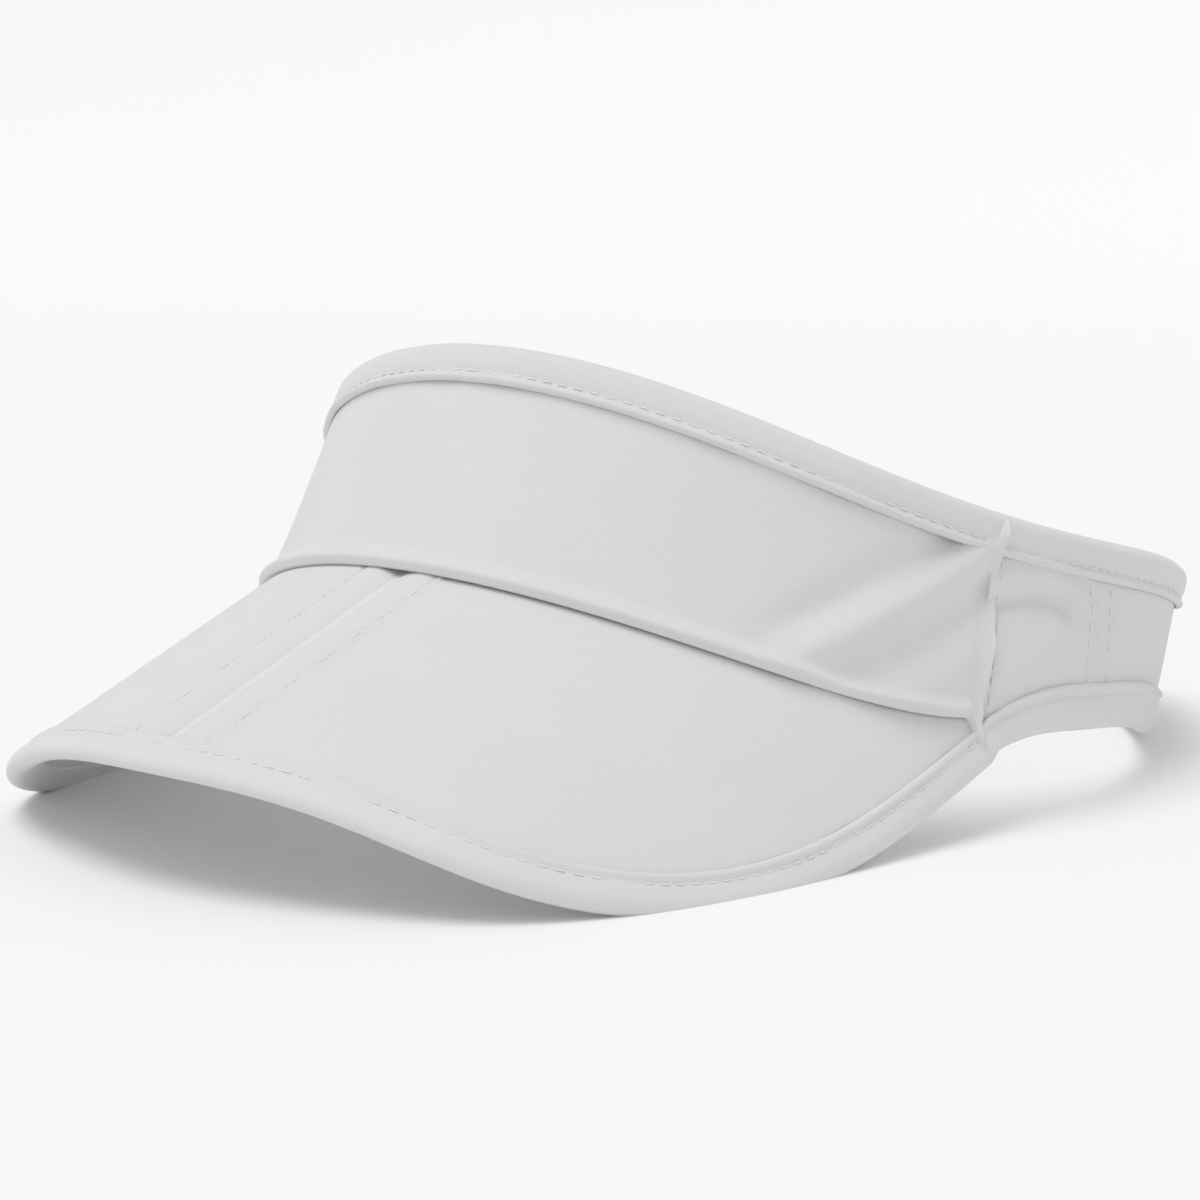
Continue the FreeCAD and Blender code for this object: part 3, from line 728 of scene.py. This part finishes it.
RELIEF = {"left": top_relief, "right": mirrored_relief}
cover_layers = [("brim_top", SHELL, "shell_cloth", 0.0, -0.55),
                ("brim_under", LINING, "lining_cloth", -2.2, -2.75)]
for node, material, slot, outer_depth, inner_depth in cover_layers:
    for side, place in SIDES:
        relief = under_relief if node == "brim_under" else RELIEF[side]
        shape, inside = (brim_grid(depth, COVER_TUCK, relief=relief) for depth in (outer_depth, inner_depth))
        piece = cloth(f"{node}_{side}_cover", place(shape), place(inside))
        dress(piece, material, slot, f"{node}_{side}")
        blend_side(piece, side, "crease")
print(f"brim covers: edge {HORN_STEP:.0f} mm long on each side")

# %% Brim binding
def hem_sections(steps):
    """The brim binding's sections along the edge."""
    steps = np.asarray(steps)[:, None]
    across, ahead = edge_place(steps, HEM_PROFILE[None, :, 0])
    across = np.where(steps <= 0, 0.0, np.maximum(across, 0))
    slack = 0.1 * np.sin(steps * 0.31) * np.sin(steps * 0.07 + 2)
    return brim(across, ahead, HEM_PROFILE[None, :, 1] + slack * (HEM_PROFILE[None, :, 1] > 0))


for side, place in SIDES:
    sections = hem_sections(np.linspace(0, HORN_STEP, 190))
    piece = swept(f"brim_binding_{side}_fold", place(sections))
    dress(piece, BINDING, "binding_cloth", f"brim_binding_{side}")
    blend_side(piece, side, "crease")

# %% Lower binding
def brim_edge_section(ahead):
    """The hem's section carried on behind the horn."""
    steps = HORN_STEP + (-HORN_END - ahead)
    across, along = edge_place(np.minimum(steps, EDGE_LENGTH - 0.1), HEM_PROFILE[:, 0])
    return brim(across, along + np.minimum(EDGE_LENGTH - 0.1 - steps, 0), HEM_PROFILE[:, 1])


def clear_of_cloth(section, angle, share):
    """Moves a section's points outwards until they lie over the band's cloth as the profile says."""
    base = band(angle, hem(angle), 0.0)
    axes = [band(angle + 0.5, hem(angle), 0.0) - base, band(angle, hem(angle) + 1, 0.0) - base,
            band(angle, hem(angle), 1.0) - base]
    depth = np.linalg.solve(np.stack(axes, axis=1), (section - base).T)[2]
    return section + share * np.maximum(LOW_PROFILE[:, 1] - depth, 0)[:, None] * axes[2]


def lower_sections(count=170, morph=13.0):
    """Sections from the horn, where they match the brim's hem, to the panel's rear end."""
    sections = []
    for angle in np.linspace(HORN_ANGLE, PANEL_END, count):
        travelled = (angle - HORN_ANGLE) * MM_PER_DEGREE
        height = hem(angle) - LOW_PROFILE[:, 0]
        slack = 0.1 * math.sin(angle * 0.5) * (LOW_PROFILE[:, 1] > 0)
        on_band = band(angle, height, LOW_PROFILE[:, 1] + slack)
        on_brim = brim_edge_section(-HORN_END - travelled)
        share = smoothstep(travelled / morph)
        section = on_brim + (on_band - on_brim) * share
        sections.append(clear_of_cloth(section, angle, smoothstep(travelled / 4)))
    return np.array(sections)


lower_shape = lower_sections()
for side, place in SIDES:
    piece = swept(f"lower_binding_{side}_fold", place(lower_shape))
    dress(piece, BINDING, "binding_cloth", f"lower_binding_{side}")
    blend_side(piece, side, "side")
print("bindings done")

# %% [markdown]
# ## Inside the band
# A towelling sweatband lies against the forehead. It is a soft pad: full in the middle and pinched at its
# stitched border. Behind it on the left sits a small blank satin label.

# %% Sweatband and label
SWEAT_LOW, SWEAT_HIGH = 2.0, 34.0
SWEAT_SHORT = 6.0


def sweat_grid(outer, rows=140, columns=30):
    """One face of the sweatband, from the centre to short of the side seam."""
    i, j = unit_grid(rows, columns)
    angle = i * (seam_angle(j) - SWEAT_SHORT)
    low = np.maximum(seam_height(angle, -3.0) + 1.2, SWEAT_LOW)
    height = low + (SWEAT_HIGH - low) * j
    border = np.minimum(np.minimum(height - low, SWEAT_HIGH - height), (1 - i) * 95)
    full = smoothstep(border / 2.8)
    return band(angle, height, -3.05 if outer else -3.55 - 1.15 * full)


for side, place in SIDES:
    piece = cloth(f"sweatband_pad_{side}", place(sweat_grid(True)), place(sweat_grid(False)))
    dress(piece, TOWEL, "sweatband_cloth", "sweatband")
    blend_side(piece, side, "front")


def label_grid(offset):
    """The care label, hanging from the top binding."""
    i, j = unit_grid(30, 24)
    angle = 134.5 + 14.0 * i
    height = rim(angle) - TOP_WIDTH - 0.2 - 12.6 * (1 - j)
    return band(angle, height, offset - 0.12 * np.sin(i * 9) * (1 - j))


label = cloth("care_label_tape", label_grid(-3.02), label_grid(-3.3))
dress(label, LABEL, "label_tape", "care_label")
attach(label, "band")
label_grid(-3.02)

# %% [markdown]
# ## The rear closure
# A webbing strap crosses from the right end towards the left and carries a pad of loop pile. A cloth tab
# comes from the left end over it, with hooks on its inner face, and its free end is cut round so that it
# doesn't catch.

# %% Closure
CLOSURE_HEIGHT = 72.45
UPRIGHT = 0.991


def rear_patch(from_x, to_x, half_height, offset, corner=0.0, rows=110, columns=26, pinch=0.0):
    """One face of an upright patch on the rear wall; its end at to_x may have rounded corners."""
    i, j = ((1 - np.cos(np.pi * share)) / 2 for share in unit_grid(rows, columns))
    x = from_x + (to_x - from_x) * i
    into_corner = np.clip(corner - np.abs(to_x - x), 0, None)
    limit = half_height - corner + np.sqrt(np.maximum(corner ** 2 - into_corner ** 2, 0))
    up = (2 * j - 1) * limit
    border = np.minimum(limit - np.abs(up), np.minimum(np.abs(x - from_x), np.abs(x - to_x)))
    height = CLOSURE_HEIGHT + up * UPRIGHT
    face = offset - pinch * (1 - smoothstep(border / 1.4))
    return band(rear_angle(x, height, offset), height, face)


closure_pieces = [
    ("rear_strap", WEBBING, "strap_webbing", (-33.9, 20.0, 7.5), (-1.0, -2.3), 0.0, "band"),
    ("loop_patch", PILE, "loop_pile", (-30.0, 18.0, 7.5), (0.1, -0.9), 0.0, "band"),
    ("hook_patch", HOOKS, "hook_tape", (-26.0, 14.0, 7.5), (1.5, 1.0), 0.0, "closure"),
    ("closure_tab", SHELL, "shell_cloth", (34.8, -29.2, 8.5), (2.95, 1.65), 7.0, "closure"),
]


def tab_blend(piece):
    """Bake the tab's transform into its mesh; the real tab bends over its first centimetre instead of
    turning on a pin, and that bend is not made here.
    """
    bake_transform(piece)


for node, material, slot, extent, (outer, inner), corner, body in closure_pieces:
    shape = rear_patch(*extent, outer, corner, pinch=0.35)
    piece = cloth(f"{node}_piece", shape, rear_patch(*extent, inner, corner, pinch=-0.12))
    dress(piece, material, slot, node)
    if node == "closure_tab":
        tab_blend(piece)
    else:
        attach(piece, body)

# %% [markdown]
# ## Stitches and hooks
# Sewn rows are thread that dips through the cloth at an even pitch, so what shows is a row of short
# rounded dashes in a shallow groove. One small tree of geometry nodes lays them along any path, and
# another sets the hooks.

# %% Node trees that repeat things
SHAPE = ("Geometry", "NodeSocketGeometry")


def geometry_tree(name, *numbers):
    """A geometry tree that takes a shape, some numbers and a material."""
    inputs = [SHAPE, *((label, "NodeSocketFloat") for label in numbers), ("Material", "NodeSocketMaterial")]
    return new_tree(name, "GeometryNodeTree", inputs, [SHAPE])


def node_chain(tree, source, *steps):
    """Add nodes one after another along the geometry sockets and give the last output."""
    for node in steps:
        entry = next(socket for socket in node.inputs if socket.type == "GEOMETRY")
        tree.links.new(source, entry)
        source = node.outputs[0]
    return source


def away_attribute(tree):
    """The stored direction out of the cloth."""
    away = tree.nodes.new("GeometryNodeInputNamedAttribute")
    away.data_type = "FLOAT_VECTOR"
    away.inputs["Name"].default_value = "out"
    return away.outputs["Attribute"]


def lay_things(tree, taken, given, thing, rotation, before=(), after=(), scale=None):
    """Lay a thing on every point, give it its material and send it out of the tree."""
    lay, dye = (tree.nodes.new(kind) for kind in ("GeometryNodeInstanceOnPoints", "GeometryNodeSetMaterial"))
    tree.links.new(thing.outputs["Mesh"], lay.inputs["Instance"])
    tree.links.new(rotation.outputs[0], lay.inputs["Rotation"])
    if scale:
        tree.links.new(scale.outputs[0], lay.inputs["Scale"])
    tree.links.new(taken.outputs["Material"], dye.inputs["Material"])
    realize = tree.nodes.new("GeometryNodeRealizeInstances")
    done = node_chain(tree, taken.outputs["Geometry"], *before, lay, realize, *after, dye)
    tree.links.new(done, given.inputs["Geometry"])
    return tree


def stitch_tree():
    """Rounded dashes of thread at an even pitch along every path."""
    tree, taken, given = geometry_tree("stitch_row", "Pitch", "Length", "Thickness")
    new = tree.nodes.new
    resample = new("GeometryNodeResampleCurve")
    resample.mode = "LENGTH"
    tree.links.new(taken.outputs["Pitch"], resample.inputs["Length"])
    along, out = new("FunctionNodeAlignRotationToVector"), new("FunctionNodeAlignRotationToVector")
    along.axis, out.axis, out.pivot_axis = "X", "Z", "X"
    tree.links.new(new("GeometryNodeInputTangent").outputs[0], along.inputs["Vector"])
    tree.links.new(along.outputs[0], out.inputs["Rotation"])
    tree.links.new(away_attribute(tree), out.inputs["Vector"])
    dash, size = new("GeometryNodeMeshIcoSphere"), new("ShaderNodeCombineXYZ")
    dash.inputs["Radius"].default_value = 0.5
    dash.inputs["Subdivisions"].default_value = 2
    for axis, label in (("X", "Length"), ("Y", "Thickness"), ("Z", "Thickness")):
        tree.links.new(taken.outputs[label], size.inputs[axis])
    return lay_things(tree, taken, given, dash, out, before=(new("GeometryNodeMeshToCurve"), resample),
                      after=(new("GeometryNodeSetShadeSmooth"),), scale=size)


def hook_tree():
    """Small hooks that stand on the points of a mesh."""
    tree, taken, given = geometry_tree("hook_field", "Height")
    new = tree.nodes.new
    stand = new("FunctionNodeAlignRotationToVector")
    stand.axis = "Z"
    tree.links.new(away_attribute(tree), stand.inputs["Vector"])
    hook = new("GeometryNodeMeshCone")
    hook.inputs["Vertices"].default_value = 8
    hook.inputs["Radius Top"].default_value = 0.00011
    hook.inputs["Radius Bottom"].default_value = 0.00026
    tree.links.new(taken.outputs["Height"], hook.inputs["Depth"])
    return lay_things(tree, taken, given, hook, stand)


def grown(name, tree, points, away, edges, values):
    """Run a tree over points and keep its result as a plain mesh object."""
    mesh = bpy.data.meshes.new(name)
    mesh.from_pydata((points * MM).tolist(), edges, [])
    store = mesh.attributes.new("out", "FLOAT_VECTOR", "POINT")
    store.data.foreach_set("vector", (away / np.linalg.norm(away, axis=-1, keepdims=True)).ravel())
    carrier = placed(name + "_path", mesh)
    modifier = carrier.modifiers.new("grow", "NODES")
    modifier.node_group = tree
    for item in tree.interface.items_tree:
        if item.in_out == "INPUT" and item.name in values:
            modifier[item.identifier] = values[item.name]
    carrier.update_tag()
    bpy.context.view_layer.update()
    result = bpy.data.meshes.new_from_object(carrier.evaluated_get(bpy.context.evaluated_depsgraph_get()))
    result.name = name
    bpy.data.objects.remove(carrier)
    return placed(name, result)


STITCHES, HOOK_FIELD = stitch_tree(), hook_tree()


def sewn(name, rows, pitch=3.1, length=2.0, thickness=0.3):
    """Stitches along rows; each row is its points and the same points lifted off the cloth."""
    points, away, edges, start = [], [], [], 0
    for low, high in rows:
        points.append(low)
        away.append(high - low)
        edges += [(start + k, start + k + 1) for k in range(len(low) - 1)]
        start += len(low)
    values = {"Pitch": pitch * MM, "Length": length * MM, "Thickness": thickness * MM, "Material": THREAD}
    return grown(name, STITCHES, np.concatenate(points), np.concatenate(away), edges, values)


def row_on(surface, first, second, offset):
    """A stitch row on the band or the brim, and the same row lifted off the cloth."""
    return surface(first, second, offset), surface(first, second, offset + 1.0)


# %% Sew
def flipped(rows, place):
    return [(place(low), place(high)) for low, high in rows]


GROOVE = 2.0  # from a binding's turned edge to its stitches
ROW_LIFT = 0.92
GROOVE_POINT = 5  # the profile point at the bottom of the groove
front_angles = np.linspace(0.4, MIDDLE_SEAM - 0.4, 260)
side_angles = np.linspace(MIDDLE_SEAM + 0.4, PANEL_END - 1, 260)
up_share = np.linspace(0, 1, 60)


def upright_row(angle_at, low_gap, high_gap, offset_at):
    """A row up the side panel."""
    angle = angle_at(up_share)
    low = cloth_low(angle) + low_gap
    height = low + (rim(angle) - high_gap - low) * up_share
    return row_on(band, angle, height, offset_at(angle, height) + 0.12)


def side_face(angle, height):
    """The side panel's own outer offset at a place."""
    low = cloth_low(angle)
    share = (height - low) / (rim(angle) - BAND_CLOTH_TOP - low)
    behind = (angle - seam_angle(share)) * MM_PER_DEGREE
    return side_offset(behind, height - low, rim(angle) - height, angle)


crease_row = np.array(CREASE_ROW)
crease_ahead = np.linspace(seam_reach_at(crease_row) + 3.2, edge_ahead(crease_row) - HEM_WIDTH - 0.8, 120)
for side, place in SIDES:
    hem_steps = np.linspace(0.5, HORN_STEP - 0.5, 400)
    hem_across, hem_ahead = edge_place(hem_steps, -HEM_WIDTH + GROOVE)
    lower_row = (lower_shape[:, GROOVE_POINT], lower_shape[:, GROOVE_POINT] * 2 - lower_shape.mean(axis=1))
    rows = {
        "front": [row_on(band, front_angles, rim(front_angles) - TOP_WIDTH + GROOVE, ROW_LIFT)],
        "side": [row_on(band, side_angles, rim(side_angles) - TOP_WIDTH + GROOVE, ROW_LIFT), lower_row,
                 upright_row(lambda up: seam_angle(up) + 1.0, 3.0, TOP_WIDTH + 1.0, side_face)],
        "crease": [row_on(brim, hem_across, hem_ahead, 0.5),
                   row_on(brim, CREASE_ROW, crease_ahead, RELIEF[side](crease_row, crease_ahead) + 0.1)],
    }
    rows["side"] += [upright_row(lambda up, a=a: a + BOX_LEAN * (1 - up), 4.0, TOP_WIDTH + 2.0, side_face)
                     for a in (BOX_STITCH_ANGLES[0], BOX_STITCH_ANGLES[2])]
    for kind, row_set in rows.items():
        piece = sewn(f"stitches_{kind}_{side}", flipped(row_set, place))
        blend_side(piece, side, kind)
        print(piece.name, len(piece.data.polygons), "faces")

tab_edge = rear_patch(32.5, -27.2, 6.5, 3.0, corner=5.2, rows=80, columns=24)
tab_high = rear_patch(32.5, -27.2, 6.5, 4.0, corner=5.2, rows=80, columns=24)
border = [(tab_edge[:, 0], tab_high[:, 0]), (tab_edge[-1], tab_high[-1]),
          (tab_edge[::-1, -1], tab_high[::-1, -1])]
tab_stitches = sewn("stitches_closure_tab", border, pitch=2.8, length=1.9)
tab_blend(tab_stitches)

hook_low, hook_high = (
    rear_patch(-25.2, 13.2, 6.8, offset, rows=30, columns=12)[1:-1, 1:-1].reshape(-1, 3)
    for offset in (0.95, -0.05))
hook_values = {"Height": 0.5 * MM, "Material": HOOKS}
hooks = grown("hook_field", HOOK_FIELD, hook_low, hook_high - hook_low, [], hook_values)
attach(hooks, "closure")
print("hooks:", len(hook_low))

# %% Boards
for name, obj in frame["nodes"].items():
    if not obj.hide_render:
        obj.data.materials.clear()
        obj.data.materials.append(BOARD)
        print("left as packed:", name)

# %% Camera and light
AZIMUTH, ELEVATION, ROLL = (math.radians(value) for value in (38.5188, 9.0571, 0.7542))
DISTANCE, FOCAL_SHARE = 604.74, 3120.17 / 1200
AIM = (-8.087, 31.82)
level = math.cos(ELEVATION)
back = np.array([math.sin(AZIMUTH) * level, -math.cos(AZIMUTH) * level, math.sin(ELEVATION)])
right = np.array([math.cos(AZIMUTH), math.sin(AZIMUTH), 0])
up = np.cross(back, right)
right_rolled = right * math.cos(ROLL) + up * math.sin(ROLL)
up_rolled = up * math.cos(ROLL) - right * math.sin(ROLL)
place = (right_rolled * AIM[0] + up_rolled * AIM[1] + back * DISTANCE) * MM
camera_data = bpy.data.cameras.new("camera")
camera_data.sensor_width = 36
camera_data.lens = 36 * FOCAL_SHARE
camera_data.clip_start = 0.01
camera = placed("camera", camera_data)
rotation = Matrix(np.stack([right_rolled, up_rolled, back], axis=1).tolist()).to_4x4()
camera.matrix_world = Matrix.Translation(Vector(place)) @ rotation
bpy.context.scene.camera = camera

FLAT_REACH, WALL_REACH, WALL_HEIGHT, TURNS = 1.6, 2.8, 0.8, 96
radii = np.concatenate([[0.0], np.linspace(FLAT_REACH, WALL_REACH, 25)])
heights = WALL_HEIGHT * (np.maximum(radii - FLAT_REACH, 0) / (WALL_REACH - FLAT_REACH)) ** 2
around = np.radians(np.arange(TURNS) * 360 / TURNS)
floor_points = np.stack([radii[:, None] * np.cos(around), radii[:, None] * np.sin(around),
                         heights[:, None] + 0 * around], axis=-1)[1:].reshape(-1, 3)
floor_faces = [tuple(range(TURNS))] + [
    (k * TURNS + a, (k + 1) * TURNS + a, (k + 1) * TURNS + (a + 1) % TURNS, k * TURNS + (a + 1) % TURNS)
    for k in range(len(radii) - 2) for a in range(TURNS)]
floor_mesh = bpy.data.meshes.new("floor")
floor_mesh.from_pydata(floor_points.tolist(), [], floor_faces)
floor_mesh.polygons.foreach_set("use_smooth", [True] * len(floor_faces))
floor = placed("floor", floor_mesh)
floor_material = bpy.data.materials.new("pale_floor")
floor_material.use_nodes = True
floor_shader = floor_material.node_tree.nodes["Principled BSDF"]
floor_shader.inputs["Base Color"].default_value = (0.93, 0.93, 0.93, 1)
floor_shader.inputs["Roughness"].default_value = 0.9
floor_mesh.materials.append(floor_material)

world = bpy.data.worlds.new("studio")
world.use_nodes = True
world.node_tree.nodes["Background"].inputs["Color"].default_value = (1, 1, 1, 1)
world.node_tree.nodes["Background"].inputs["Strength"].default_value = 0.62
bpy.context.scene.world = world
bpy.context.scene.view_settings.view_transform = "Standard"

sun_data = bpy.data.lights.new("window", "SUN")
sun_data.energy, sun_data.angle = 1.25, math.radians(35)
sun = placed("window", sun_data)
sun.rotation_euler = Vector((0.12, 0.32, -1.0)).to_track_quat("-Z", "Y").to_euler()
